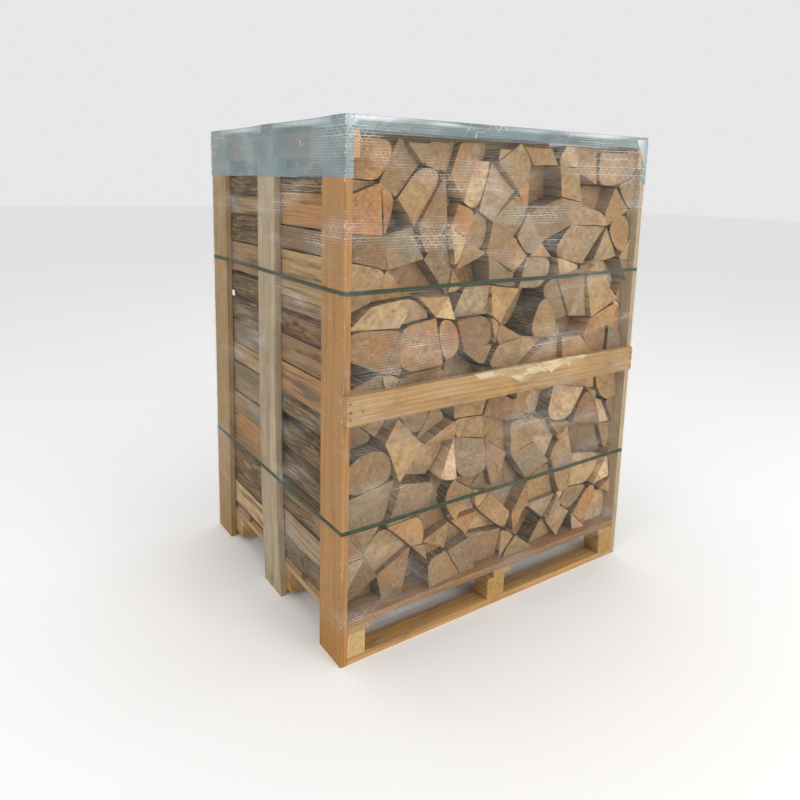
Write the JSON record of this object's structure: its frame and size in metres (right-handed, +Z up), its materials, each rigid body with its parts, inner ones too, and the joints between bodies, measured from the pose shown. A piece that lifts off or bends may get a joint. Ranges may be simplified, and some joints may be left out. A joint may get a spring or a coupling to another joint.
{
  "type": "pallet crate of split firewood",
  "caption": "Free-standing pallet crate that holds stacked split firewood logs between wooden posts, tied with straps under a film cover and a net wrap, with fork pockets below.",
  "frame": {"origin": "centre of the footprint, on the floor", "axes": "+X along the long side, -Y is the front where the log ends show, +Z up"},
  "size_m": [1.2228, 1.0516, 1.5666],
  "materials": {
    "post_wood": "sawn, planed faces, warm orange tan",
    "pale_wood": "sawn, weathered pale grey tan",
    "pallet_wood": "rough sawn, yellow brown",
    "rail_wood": "rough sawn, olive tan",
    "log_wood": "split wood and rough bark",
    "strap_plastic": "embossed dark green strapping",
    "cover_film": "thin clear film, blue grey, wrinkled",
    "net_yarn": "thin clear white knitted threads"
  },
  "bodies": {
    "root": {"block_left_front": "pallet_wood", "block_left_middle": "pallet_wood", "block_left_rear": "pallet_wood", "block_middle_front": "pallet_wood", "block_middle_middle": "pallet_wood", "block_middle_rear": "pallet_wood", "block_right_front": "pallet_wood", "block_right_middle": "pallet_wood", "block_right_rear": "pallet_wood", "cross_beam_front": "rail_wood", "cross_beam_middle": "rail_wood", "cross_beam_rear": "rail_wood", "deck_board_1": "pallet_wood", "deck_board_2": "pallet_wood", "deck_board_3": "pallet_wood", "deck_board_4": "pallet_wood", "deck_board_5": "pallet_wood", "deck_board_6": "pallet_wood", "deck_board_7": "pallet_wood", "logs_back_row": "log_wood", "logs_front_row": "log_wood", "mid_rail_back": "rail_wood", "mid_rail_front": "rail_wood", "net_wrap": "net_yarn", "post_left_front": "post_wood", "post_left_middle": "pale_wood", "post_left_rear": "post_wood", "post_right_front": "post_wood", "post_right_middle": "pale_wood", "post_right_rear": "post_wood", "runner_front": "pallet_wood", "runner_middle": "pallet_wood", "runner_rear": "pallet_wood", "strap_lower": "strap_plastic", "strap_upper": "strap_plastic", "stringer_left": "pallet_wood", "stringer_middle": "pallet_wood", "stringer_right": "pallet_wood", "top_cover": "cover_film", "top_rail_left": "post_wood", "top_rail_right": "post_wood"}
  },
  "joints": []
}
